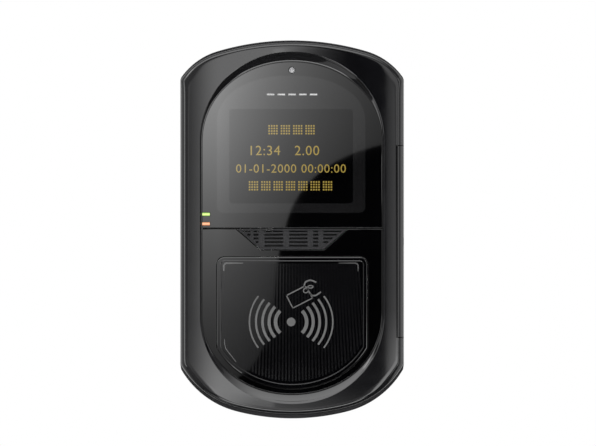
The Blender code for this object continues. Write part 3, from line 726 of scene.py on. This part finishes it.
def make_door():
    """The side door: its section swept up the housing, with the hinge knuckle along its back edge."""
    hinge = (pin.x, pin.depth)
    corner_drop = BEZEL_EDGE - CORNER_BACK
    section = arc(hinge, (KNUCKLE, KNUCKLE), 0, -180, 24)
    section += [(hinge[0] - KNUCKLE, hinge[1] + 1), (67.2, 25)]
    section += arc((CREASE, CORNER_BACK), (1.95, corner_drop - 2.4), 0, 78, 14)
    section += arc((CREASE, CORNER_BACK), (CORNER_REACH, corner_drop), 85, 0, 18)
    shape = bmesh.new()
    sweep(shape, section, door.bottom, door.top)
    made = finish_piece("service_door_skin", shape, [housing], "service_door", "door")
    cuts = bmesh.new()
    for lug_low, lug_high in LUGS:
        add_box(cuts, 64, 71, lug_low - 0.4, lug_high + 0.4, 19, 24.6)
    screw_centre = (door_screw.y, door_screw.depth)
    add_rod(cuts, "x", screw_centre, 3.3, 68, 72)
    bores = bmesh.new()
    add_rod(bores, "x", screw_centre, 1.7, 62, 70, 24)
    add_rod(bores, "y", hinge, 1.2, -80, 60, 24)
    apply_tools(made, [("DIFFERENCE", "door_cuts", cuts), ("DIFFERENCE", "door_bores", bores)])
    soften(made, 0.25)


def soften(made, width, segments=2, angle=40):
    """Rounds the sharp edges of a piece or a CAD node by this many millimetres."""
    step = made.modifiers.new("soft_edges", "BEVEL")
    step.width = width * MM
    step.segments = segments
    step.limit_method = "ANGLE"
    step.angle_limit = math.radians(angle)
    step.harden_normals = True


# ---- panel


def arch_outline(left, right, bottom, top, shoulder, radius):
    """The printed arch round the display: rounded lower corners and a curved top."""
    middle = (left + right) / 2
    half = (right - left) / 2
    crown = [(middle + x, y) for x, y in rounded_end(half, top, top - shoulder, 2.15, 32)]
    lower = arc((left + radius, bottom + radius), (radius, radius), 180, 270, 8)
    lower += arc((right - radius, bottom + radius), (radius, radius), 270, 360, 8)
    return crown + lower


DISPLAY = rectangle(-39.2, 38.0, 16.2, 75.1, 2.0)
ARCH = arch_outline(-46.9, 45.7, 10.3, 96.0, 67.0, 4.0)


def make_window():
    outline = rounded_end(PANEL[0], PANEL[1], PANEL[3])
    outline += [(-PANEL[0], window.bottom), (PANEL[0], window.bottom)]
    radius = 0.35
    regions = [([inset(outline, radius), ARCH], 0), ([ARCH, DISPLAY], 1), ([DISPLAY], 2)]
    shape = bmesh.new()
    add_slab(shape, [outline], window.back, FACE, radius, regions)
    weld(shape)
    looks = [panel_black, arch_print, display_dark]
    made = finish_piece("display_window_skin", shape, looks, "display_window")
    cuts = bmesh.new()
    for lens in (green, orange):
        add_box(cuts, -58, lens.right + 0.3, lens.y - 1.25, lens.y + 1.25, 58, 66)
    add_rod(cuts, "z", (sensor.x, sensor.y), 2.2, 58, 66)
    apply_tools(made, [("DIFFERENCE", "window_cuts", cuts)])
    steady(made)


def grille_outline(grow):
    top, bottom = grille.top + grow, grille.bottom - grow
    wide, narrow = grille.right + grow, GRILLE_FOOT + grow
    return [(-wide, top), (-narrow, bottom), (narrow, bottom), (wide, top)]


def make_card_panel():
    top = lower_panel.top
    outline = [(-x, -y) for x, y in rounded_end(PANEL[0], -PANEL[2], PANEL[3])]
    notch = [(p, min(q, top)) for p, q in reversed(grille_outline(0.3))]
    outline += [(PANEL[0], top)] + notch + [(-PANEL[0], top)]
    hole = pad_outline(*PAD)[::-1]
    shape = bmesh.new()
    add_slab(shape, [outline, hole], lower_panel.back, FACE, 0.3)
    # A dark lip behind the joint with the window hides what lies inside; its matte black is painted
    # shade standing in for the shadow in the joint.
    low, high = lower_panel.back + 0.1, FACE - 1.1
    start = len(shape.faces)
    add_box(shape, -PANEL[0] + 0.4, PANEL[0] - 0.4, top + 0.2, window.bottom - 0.1, low, high)
    reach = grille.right + 1.2
    for left, right in ((-PANEL[0] + 0.5, -reach), (reach, PANEL[0] - 0.5)):
        add_box(shape, left, right, top - 0.5, top + 0.3, low + 0.05, high - 0.05)
    shape.faces.ensure_lookup_table()
    for face in shape.faces[start:]:
        face.material_index = 1
    weld(shape)
    steady(finish_piece("card_panel_skin", shape, [panel_black, frame_black_and_painted_shade], "card_panel"))


def make_pad():
    """The card pad: a raised round rim, a sunken field and fine ribs that fan out downwards."""
    outer = inset(pad_outline(*PAD), 0.3)
    profile = [(0, pad.back), (0, FACE + 0.3), (0.08, FACE + 0.5), (0.25, pad.front - 0.05)]
    profile += [(0.5, pad.front), (2.1, pad.front), (2.3, pad.front - 0.05)]
    profile += [(2.5, FACE + 0.5), (2.6, FACE + 0.2), (2.75, FACE)]
    shape = bmesh.new()
    add_rings(shape, [flat(inset(outer, d), depth) for d, depth in profile])
    add_fill(shape, [outer], pad.back)
    inward, floor = profile[-1]
    add_fill(shape, [inset(outer, inward)], floor)
    weld(shape)
    steady(finish_piece("card_pad_skin", shape, [pad_film], "card_pad", angle=25))

    shape = bmesh.new()
    ribs, pitch, fan = 46, 1.86, 0.13
    top, centre_y = -21.4, PANEL[2] + PANEL[3]
    for i in range(ribs):
        x_top = (i - (ribs - 1) / 2) * pitch - 0.7
        x_low = x_top * (1 + fan)
        share = min(1.0, abs(x_low) / 50.0)
        bottom = centre_y - 42.0 * math.sqrt(1 - share * share)
        x_bottom = x_top + (x_low - x_top) * (top - bottom) / (top + 95)
        add_rib(shape, (x_top, top), (x_bottom, bottom), 0.42, floor - 0.05, floor + 0.12)
    finish_piece("card_pad_ribs", shape, [pad_ribs], angle=20)


def add_rib(shape, start, end, half, back, face):
    """A long flat-topped ridge with sloping sides, closed at both ends."""
    rows = []
    for (x, y), lean in ((start, -1), (end, 1)):
        slope = (face - back) * 0.6
        row = [(x - half - slope, y, back), (x - half, y + lean * slope, face)]
        row += [(x + half, y + lean * slope, face), (x + half + slope, y, back)]
        rows.append([shape.verts.new(at(*point)) for point in row])
    join(shape, *rows)
    shape.faces.new(rows[0])
    shape.faces.new(rows[1])


def add_ribbon(shape, path, widths, back, face):
    """A flat stroke of ink along a path of (x, y) points, with its width at each point."""
    left, right = [], []
    for i, point in enumerate(path):
        here = Vector(point)
        before = Vector(path[max(i - 1, 0)])
        after = Vector(path[min(i + 1, len(path) - 1)])
        along = (after - before).normalized()
        side = Vector((-along.y, along.x)) * widths[i] / 2
        left.append(tuple(here + side))
        right.append(tuple(here - side))
    lines = ((left, back), (left, face), (right, face), (right, back))
    rows = [[shape.verts.new(at(x, y, depth)) for x, y in line] for line, depth in lines]
    for k in range(4):
        near, far = rows[k], rows[(k + 1) % 4]
        for i in range(len(near) - 1):
            shape.faces.new((near[i], near[i + 1], far[i + 1], far[i]))
    shape.faces.new([row[0] for row in rows])
    shape.faces.new([row[-1] for row in rows])


def make_pad_icons():
    """Generic marks: a dot with five waves each side, a tilted card and two finger strokes."""
    back, face = FACE, FACE + 0.24
    centre = (-0.6, -57.7)
    shape = bmesh.new()
    for i in range(5):
        radius = 9.7 + 4.08 * i
        width = 2.2 - 0.31 * i
        half_angle = 45 - 1.7 * i
        for middle in (0, 180):
            path = arc(centre, (radius, radius), middle - half_angle, middle + half_angle, 24)
            add_ribbon(shape, path, [width] * len(path), back, face)
    add_rod(shape, "z", centre, 2.7, back, face, 40)
    card = [(7.7, -35.5), (-3.5, -41.2), (0.45, -49.1), (12.8, -42.8), (11.4, -40.4)]
    for a, b in zip(card, card[1:]):
        reach = (Vector(b) - Vector(a)).normalized() * 0.35
        ends = [tuple(Vector(a) - reach), tuple(Vector(b) + reach)]
        add_ribbon(shape, ends, [0.75, 0.75], back, face)
    upper = [(7.5, -35.6), (8.1, -33.3), (9.6, -32.1), (12.0, -31.8), (15.1, -33.0)]
    lower = [(9.2, -36.4), (10.2, -38.2), (11.5, -40.3), (12.8, -41.2), (15.1, -41.0), (18.0, -38.9)]
    thumb = [(7.3, -35.4), (8.6, -35.9), (9.8, -36.5)]
    for path, width in ((upper, 0.95), (lower, 0.95), (thumb, 0.8)):
        line = spline(path)
        add_ribbon(shape, line, [width] * len(line), back, face)
    for centre, radii in (((8.5, -38.2), (1.4, 1.4)), ((11.5, -35.8), (1.6, 0.8))):
        loop = arc(centre, radii, 0, 360, 24)
        add_ribbon(shape, loop, [0.7] * len(loop), back, face)
    finish_piece("card_pad_marks", shape, [icon_print])

    corner = [(-42.6, -26.0)] + arc((-40.6, -23.0), (2.0, 2.0), 180, 90, 8) + [(-30.5, -21.0)]
    shape = bmesh.new()
    add_ribbon(shape, corner, [0.6] + [1.1] * 9 + [0.5], back, face - 0.1)
    path = [(-42.2, -68.5), (-42.0, -72.0), (-41.2, -74.6), (-35.0, -82.6)]
    add_ribbon(shape, path, [0.3, 0.4, 0.4, 0.3], back, face - 0.1)
    finish_piece("card_pad_left_ticks", shape, [faint_print])
    # The right tick mirrors the left corner in darker ink: painted shade on the unlit side.
    shape = bmesh.new()
    path = [(-x - 1.4, y) for x, y in corner]
    add_ribbon(shape, path, [0.5] + [0.9] * 9 + [0.5], back, face - 0.1)
    finish_piece("card_pad_right_tick", shape, [print_with_painted_shade])


def make_grille():
    slots = []
    ribs = ((-25.0, 2.0), (-19.1, 3.8), (-3.7, 3.8), (11.4, 3.6), (17.9, 3.2))
    for row in range(5):
        y = -1.0 - 2.29 * row
        share = (grille.top - y) / (grille.top - grille.bottom)
        limit = grille.right + (GRILLE_FOOT - grille.right) * share - 2.6
        lefts = [-limit] + [middle + width / 2 for middle, width in ribs]
        rights = [middle - width / 2 for middle, width in ribs] + [limit]
        for left, right in zip(lefts, rights):
            left, right = max(left, -limit), min(right, limit)
            if right - left > 1.2:
                slots.append(rectangle(left, right, y - 0.58, y + 0.58, 0.22, 3)[::-1])
    outline = grille_outline(0)
    shape = bmesh.new()
    add_slab(shape, [outline, *slots], grille.back, grille.front - 0.75, 0.12)
    inner = inset(outline, 1.0)
    add_slab(shape, [outline, inner[::-1]], grille.front - 0.9, grille.front - 0.15, 0.28)
    # A dust cloth behind the slots keeps the inside dark: its black is painted shade, standing in for
    # the shadow inside the housing.
    add_slab(shape, [inset(outline, 1.3)], grille.back + 0.05, grille.back + 0.35, 0.05, slot=1)
    weld(shape)
    looks = [grille_plastic, frame_black_and_painted_shade]
    steady(finish_piece("speaker_grille_skin", shape, looks, "speaker_grille"))


# ---- display contents


def add_text(shape, text, x, y, size, depth):
    """Generic digits, drawn with Blender's own font, centred on a point."""
    curve = bpy.data.curves.new("digits", "FONT")
    curve.body = text
    curve.size = size
    curve.align_x = "CENTER"
    curve.align_y = "CENTER"
    curve.extrude = 0.02
    curve.resolution_u = 3
    curve.space_character = 1.08
    add_drawn(shape, curve, (x, y, depth))


def add_dots(shape, x, y, columns, rows, depth):
    """A block of display dots, which stands where a word would be."""
    for i in range(columns):
        for j in range(rows):
            left = x + (i - columns / 2) * DOT_PITCH + DOT_GAP / 2
            low = y + (j - rows / 2) * DOT_PITCH + DOT_GAP / 2
            size = DOT_PITCH - DOT_GAP
            add_box(shape, left, left + size, low, low + size, depth, depth + INK)


def make_display_contents():
    """Four amber lines: generic digits and plain blocks of dots, with no words."""
    amber = lit("display_amber", (0.03, 0.018, 0.001), 0.1, (0.25, 0.18, 0.02), 1.0)
    depth = FACE + 0.01
    shape = bmesh.new()
    for x in (-11.9, -4.2, 3.5, 11.2):
        add_dots(shape, x, 62.2, 4, 4, depth)
    for i in range(7):
        add_dots(shape, -24.1 + 7.7 * i, 27.2, 4, 4, depth)
    add_text(shape, "12:34   2.00", -5.2, 48.9, 8.6, depth)
    add_text(shape, "01-01-2000 00:00:00", -0.7, 37.7, 7.6, depth)
    weld(shape)
    finish_piece("display_contents", shape, [amber])

    white = moulded("mark_white", (0.3, 0.3, 0.3), 0.4, 0.000004)
    shape = bmesh.new()
    for i in range(DASHES):
        x = -13.4 + 6.7 * i
        add_box(shape, x - 2.3, x + 2.3, 83.7, 84.7, depth, depth + INK)
    finish_piece("header_dashes", shape, [white])


def make_sensor():
    """The light sensor's lens: a small polished dome on a straight skirt."""
    radius, rise, steps = 1.9, 1.2, 10
    shoulder = FACE - 0.35
    turns = [math.radians(90 * i / steps) for i in range(1, steps)]
    profile = [(radius, 58), (radius, shoulder)]
    profile += [(radius * math.cos(a), shoulder + rise * math.sin(a)) for a in turns]
    shape = bmesh.new()
    rows = add_rings(shape, [flat(circle((sensor.x, sensor.y), r, 40), depth) for r, depth in profile])
    shape.faces.new(rows[0])
    shape.faces.new(rows[-1])
    look = Look("sensor_lens", (0.2, 0.2, 0.205), 0.1, specular=1.0)
    look.mottle(look.noise(700), 0.8, 1.1)
    look.roughen(look.noise(300), 0.07, 0.16)
    finish_piece("light_sensor_lens_skin", shape, [look.material], "light_sensor_lens")


def light_pipe(name, colour, core, edge, span):
    """A lit lens that is brightest along its middle line."""
    look = Look(name, colour, 0.15)
    away = math_node(look.tree, "SUBTRACT", axes(look.tree)["Z"], span.y * MM)
    away = math_node(look.tree, "ABSOLUTE", away)
    look.blend(look.spread(away, 0, 1, 0.0002, 0.001), core, edge, "Emission Color")
    look.put("Emission Strength", 1.0)
    look.roughen(look.noise(500), 0.1, 0.22)
    return look.material


# ---- carried-over nodes


def dress(look, names, width=0.3):
    """Gives CAD nodes a finished material, smooth shading and slightly rounded edges."""
    for name in names:
        node = nodes[name]
        shade(node.data, 35)
        if not node.data.materials:
            node.data.materials.append(look)
        for slot in node.material_slots:
            slot.material = look
        if width:
            soften(node, width)


def dress_frame():
    steel = metal("zinc_steel", (0.5, 0.5, 0.51), 0.3)
    chrome = metal("lock_chrome", (0.75, 0.75, 0.76), 0.12, brushed=0.000002)
    sheet = metal("rolled_sheet", (0.52, 0.53, 0.55), 0.32, (1, 1, 12))
    tin = metal("tin_plate", (0.6, 0.6, 0.58), 0.28)
    board = laminate("green_laminate", (0.015, 0.085, 0.035))
    black = moulded("module_black", (0.016, 0.016, 0.018), 0.45)
    dress(steel, ["door_hinge_pin", "lock_cam", "lock_nut", "door_screw"], 0.12)
    dress(steel, SCREWS, 0.12)
    dress(chrome, ["lock_barrel", "lock_plug"], 0.2)
    dress(frame_black_and_painted_shade, ["display_frame"], 0.2)
    # The basket is darkened so the grille slots look shaded inside: painted shade.
    dress(moulded("basket_painted_shade", (0.01, 0.01, 0.01), 0.7, specular=0.15), ["speaker_basket"], 0.2)
    dress(tin, ["rf_shield_can", "cellular_module", "backup_cell", "network_socket"], 0.25)
    dress(tin, ["usb_socket", "memory_card_slot", "sam_socket_1", "sam_socket_2"], 0.2)
    boards = ("display", "led", "light_sensor", "antenna", "main", "power")
    dress(board, [f"{name}_board" for name in boards], 0.12)
    dress(black, ["processor_module", "cell_holder", "main_connector"], 0.2)
    dress(black, ["reset_switch", "power_switch_body", "power_switch_rocker"], 0.2)
    dress(rear_housing, ["service_bay"], 0.3)
    dress(rubber("seal_rubber"), ["housing_gasket", "panel_gasket", "door_seal"], 0)
    ferrite = moulded("sintered_ferrite", (0.05, 0.05, 0.054), 0.6)
    dress(ferrite, ["ferrite_sheet", "speaker_magnet", "power_inductor"], 0.15)
    dress(moulded("ribbon_film", (0.5, 0.27, 0.05), 0.35), ["display_ribbon", "cellular_antenna"], 0)
    dress(moulded("speaker_paper", (0.02, 0.02, 0.02), 0.9, 0.00006), ["speaker_cone"], 0)
    sleeve = moulded("capacitor_sleeve", (0.03, 0.04, 0.1), 0.3)
    dress(sleeve, ["bulk_capacitor_1", "bulk_capacitor_2"], 0.5)
    dress(metal("anodised_black", (0.07, 0.07, 0.075), 0.4), ["heat_sink"], 0.2)
    dress(moulded("button_red", (0.42, 0.02, 0.015), 0.35), ["reset_button"], 0.3)
    dress(polished("display_pane", (0.006, 0.0055, 0.004), 0.08), ["display_glass"], 0.2)
    powder = Look("bracket_powder", (0.12, 0.12, 0.125), 0.5)
    powder.mottle(powder.noise(60), 0.9, 1.1)
    powder.bump(powder.noise(1400, 2), 0.00005)
    dress(powder.material, ["mounting_bracket"], 0.4)
    dress(metal("blank_foil", (0.62, 0.62, 0.63), 0.3, (14, 1, 1)), ["rating_plate"], 0)
    pipe = light_pipe("green_light", (0.03, 0.1, 0.01), (0.78, 0.98, 0.26), (0.1, 0.2, 0.01), green)
    dress(pipe, ["led_lens_green"], 0.45)
    pipe = light_pipe("orange_light", (0.12, 0.03, 0.01), (1.0, 0.5, 0.25), (0.22, 0.05, 0.01), orange)
    dress(pipe, ["led_lens_orange"], 0.45)


# ---- studio and camera


def camera():
    """Square on to the face, far off with a long lens, a little right of and above the middle."""
    image_width = 372.9 * MM  # what the frame takes in at the housing's rim
    distance = 12.0
    data = bpy.data.cameras.new("camera")
    sensor_width = 36
    data.sensor_width = sensor_width
    data.lens = sensor_width * (distance - rear.front * MM) / image_width
    data.clip_end = 100
    made = place_object("camera", data)
    made.location = (3.7 * MM, -distance, 4.0 * MM)
    made.rotation_euler = (math.radians(90), 0, 0)
    bpy.context.scene.camera = made


def ramp_node(tree, source, start, end):
    """A smooth step between two (place, value) pairs."""
    step = tree.nodes.new("ShaderNodeMapRange")
    step.interpolation_type = "SMOOTHSTEP"
    for socket, value in zip(("From Min", "To Min", "From Max", "To Max"), (*start, *end)):
        step.inputs[socket].default_value = value
    tree.links.new(source, step.inputs["Value"])
    return step.outputs["Result"]


def product(tree, sources):
    """All the sources multiplied together."""
    total = sources[0]
    for source in sources[1:]:
        total = math_node(tree, "MULTIPLY", total, source)
    return total


def falloff(tree, source, start, reach):
    """Drops by e times over each reach past the start, and is one before it."""
    steps = [("SUBTRACT", start), ("DIVIDE", -reach), ("EXPONENT", None), ("MINIMUM", 1.0)]
    for operation, value in steps:
        source = math_node(tree, operation, source, value)
    return source


def emitter(name, outline, y, ramps, fall=None, spot=(0, 0, 0), tilt=0):
    """A flat lit card that only lights and reflects, from (x, z) points in metres at one y.

    ramps are (own axis, start, end), multiplied; fall is falloff()'s start and reach across it.
    """
    shape = bmesh.new()
    shape.faces.new([shape.verts.new((x, y, z)) for x, z in outline])
    bmesh.ops.triangulate(shape, faces=shape.faces)
    look = bpy.data.materials.new(name)
    look.use_nodes = True
    tree = look.node_tree
    tree.nodes.clear()
    out = tree.nodes.new("ShaderNodeOutputMaterial")
    light = tree.nodes.new("ShaderNodeEmission")
    point = axes(tree)
    steps = [ramp_node(tree, point[axis], start, end) for axis, start, end in ramps]
    if fall:
        steps.append(falloff(tree, point["X"], *fall))
    tree.links.new(product(tree, steps), light.inputs["Strength"])
    tree.links.new(light.outputs[0], out.inputs[0])
    mesh = mesh_of(name, shape)
    mesh.materials.append(look)
    made = place_object(name, mesh)
    made.location = spot
    made.rotation_euler.x = math.radians(tilt)
    made.visible_camera = False
    made.visible_shadow = False


def bezier(points, steps=16):
    """Points along cubic stretches given as end, handle, handle, end, handle, handle, end..."""
    line = []
    for i in range(0, len(points) - 1, 3):
        a, b, c, d = (Vector(p) for p in points[i : i + 4])
        for k in range(steps):
            t = k / steps
            u = 1 - t
            line.append(tuple(a * u**3 + b * 3 * u * u * t + c * 3 * u * t * t + d * t**3))
    return line + [points[-1]]


def area(name, place, size, power):
    """A soft light aimed at the middle of the object."""
    data = bpy.data.lights.new(name, "AREA")
    data.shape = "RECTANGLE"
    data.size, data.size_y = size
    data.energy = power
    made = place_object(name, data)
    made.location = place
    aim = Vector((0, -0.05, 0)) - Vector(place)
    made.rotation_euler = aim.to_track_quat("-Z", "Y").to_euler()
    made.visible_camera = False


def studio():
    scene = bpy.context.scene
    scene.view_settings.view_transform = "Standard"
    world = bpy.data.worlds.new("studio")
    scene.world = world
    world.use_nodes = True
    tree = world.node_tree
    tree.nodes.clear()
    out = tree.nodes.new("ShaderNodeOutputWorld")
    mix = tree.nodes.new("ShaderNodeMixShader")
    path = tree.nodes.new("ShaderNodeLightPath")
    seen = tree.nodes.new("ShaderNodeBackground")
    seen.inputs["Color"].default_value = (1, 1, 1, 1)
    room = tree.nodes.new("ShaderNodeBackground")
    toward = axes(tree, "Generated")
    fade = [
        ramp_node(tree, toward["Y"], (-0.9, 0.0), (-0.5, 1.35)),
        ramp_node(tree, toward["Y"], (-0.2, 1.0), (0.7, 0.5)),
        ramp_node(tree, toward["Z"], (-0.75, 0.15), (-0.1, 1.0)),
        ramp_node(tree, toward["X"], (0.2, 1.0), (0.75, 0.4)),
    ]
    tree.links.new(product(tree, fade), room.inputs["Strength"])
    tree.links.new(path.outputs["Is Camera Ray"], mix.inputs[0])
    tree.links.new(room.outputs[0], mix.inputs[1])
    tree.links.new(seen.outputs[0], mix.inputs[2])
    tree.links.new(mix.outputs[0], out.inputs[0])

    # The key card: its lower right edge is the soft curve that shows in the gloss of the panel.
    edge = bezier(
        [
            (0.0997, 0.0695), (0.0871, 0.0654), (0.0754, 0.0619), (0.0633, 0.059),
            (0.0212, 0.0499), (0.0002, 0.0277), (-0.0053, 0.0002),
            (-0.0148, -0.0238), (-0.009, -0.0604), (-0.0248, -0.091),
            (-0.0301, -0.0987), (-0.0365, -0.1041), (-0.05, -0.1095),
        ]
    )
    outline = [(0.23, 0.1207), (-0.09, 0.1207), (-0.09, -0.1113)]
    outline += list(reversed(edge)) + [(0.23, 0.0768)]
    fades = [("Z", (-0.115, 0.72), (0.272, 11.9)), ("Z", (-0.01, 0.88), (0.078, 1.04))]
    emitter("key_card", outline, CARDS_Y, fades, (-0.052, 0.0545))
    outline = [(0.26, 0.75), (-0.09, 0.75), (-0.09, 0.1207), (0.26, 0.1207)]
    emitter("top_card", outline, CARDS_Y, [("X", (-0.12, 4.2), (0.26, 0.25))])
    outline = [(-0.09, 0.75), (-1.3, 0.75), (-1.3, -0.6), (-0.09, -0.6)]
    fades = (("X", (-0.55, 0.7), (-0.35, 4.2)), ("Z", (-0.117, 1.5), (-0.073, 1.0)))
    emitter("left_card", outline, CARDS_Y, fades)
    outline = [(-0.44, -0.1186), (-0.44, -0.6), (0.471, -0.6), (0.471, -0.1186)]
    fades = (("X", (-0.41, 6.4), (-0.14, 2.0)), ("X", (-0.07, 1.0), (0.44, 0.36)))
    emitter("low_card", outline, CARDS_Y + 0.01, fades)
    outline = [(0.471, 0.75), (1.3, 0.75), (1.3, -0.6), (0.471, -0.6)]
    fades = (("X", (0.471, 0.8), (0.555, 1.95)), ("Z", (-0.099, 3.0), (-0.0585, 1.0)))
    emitter("right_card", outline, CARDS_Y, fades)
    outline = [(-1.4, 0.38), (-1.4, -0.34), (0.95, -0.34), (0.95, 0.38)]
    fades = [("X", (0.18, 4.5), (0.95, 0.9))]
    emitter("overhead_card", outline, 0, fades, spot=(0, -0.28, 0.9), tilt=104)
    area("left_light", (-1.0, -0.16, 0.1), (0.32, 1.4), 4.9)
    area("right_light", (1.2, -0.65, 0.0), (0.5, 1.4), 5.0)
    area("right_rear_light", (1.0, 0.45, 0.0), (0.9, 1.4), 2.7)
    area("low_light", (-0.5, -0.2, -0.9), (0.95, 0.4), 1.2)
    area("low_front_light", (0, -1.0, -1.1), (1.6, 0.6), 20)

    floor = bmesh.new()
    bmesh.ops.create_circle(floor, cap_ends=True, segments=64, radius=4.0)
    mesh = mesh_of("floor", floor)
    pale = Look("pale_floor", (0.85, 0.85, 0.85), 0.9)
    pale.mottle(pale.noise(3), 0.98, 1.02)
    pale.glow((1, 1, 1), 0.55)
    mesh.materials.append(pale.material)
    ground = place_object("floor", mesh)
    ground.location.z = cad_low.z - 0.35
    ground.visible_glossy = False


make_front_shell()
make_rear_shell()
make_door()
make_window()
make_card_panel()
make_pad()
make_pad_icons()
make_grille()
make_display_contents()
make_sensor()
dress_frame()
camera()
studio()
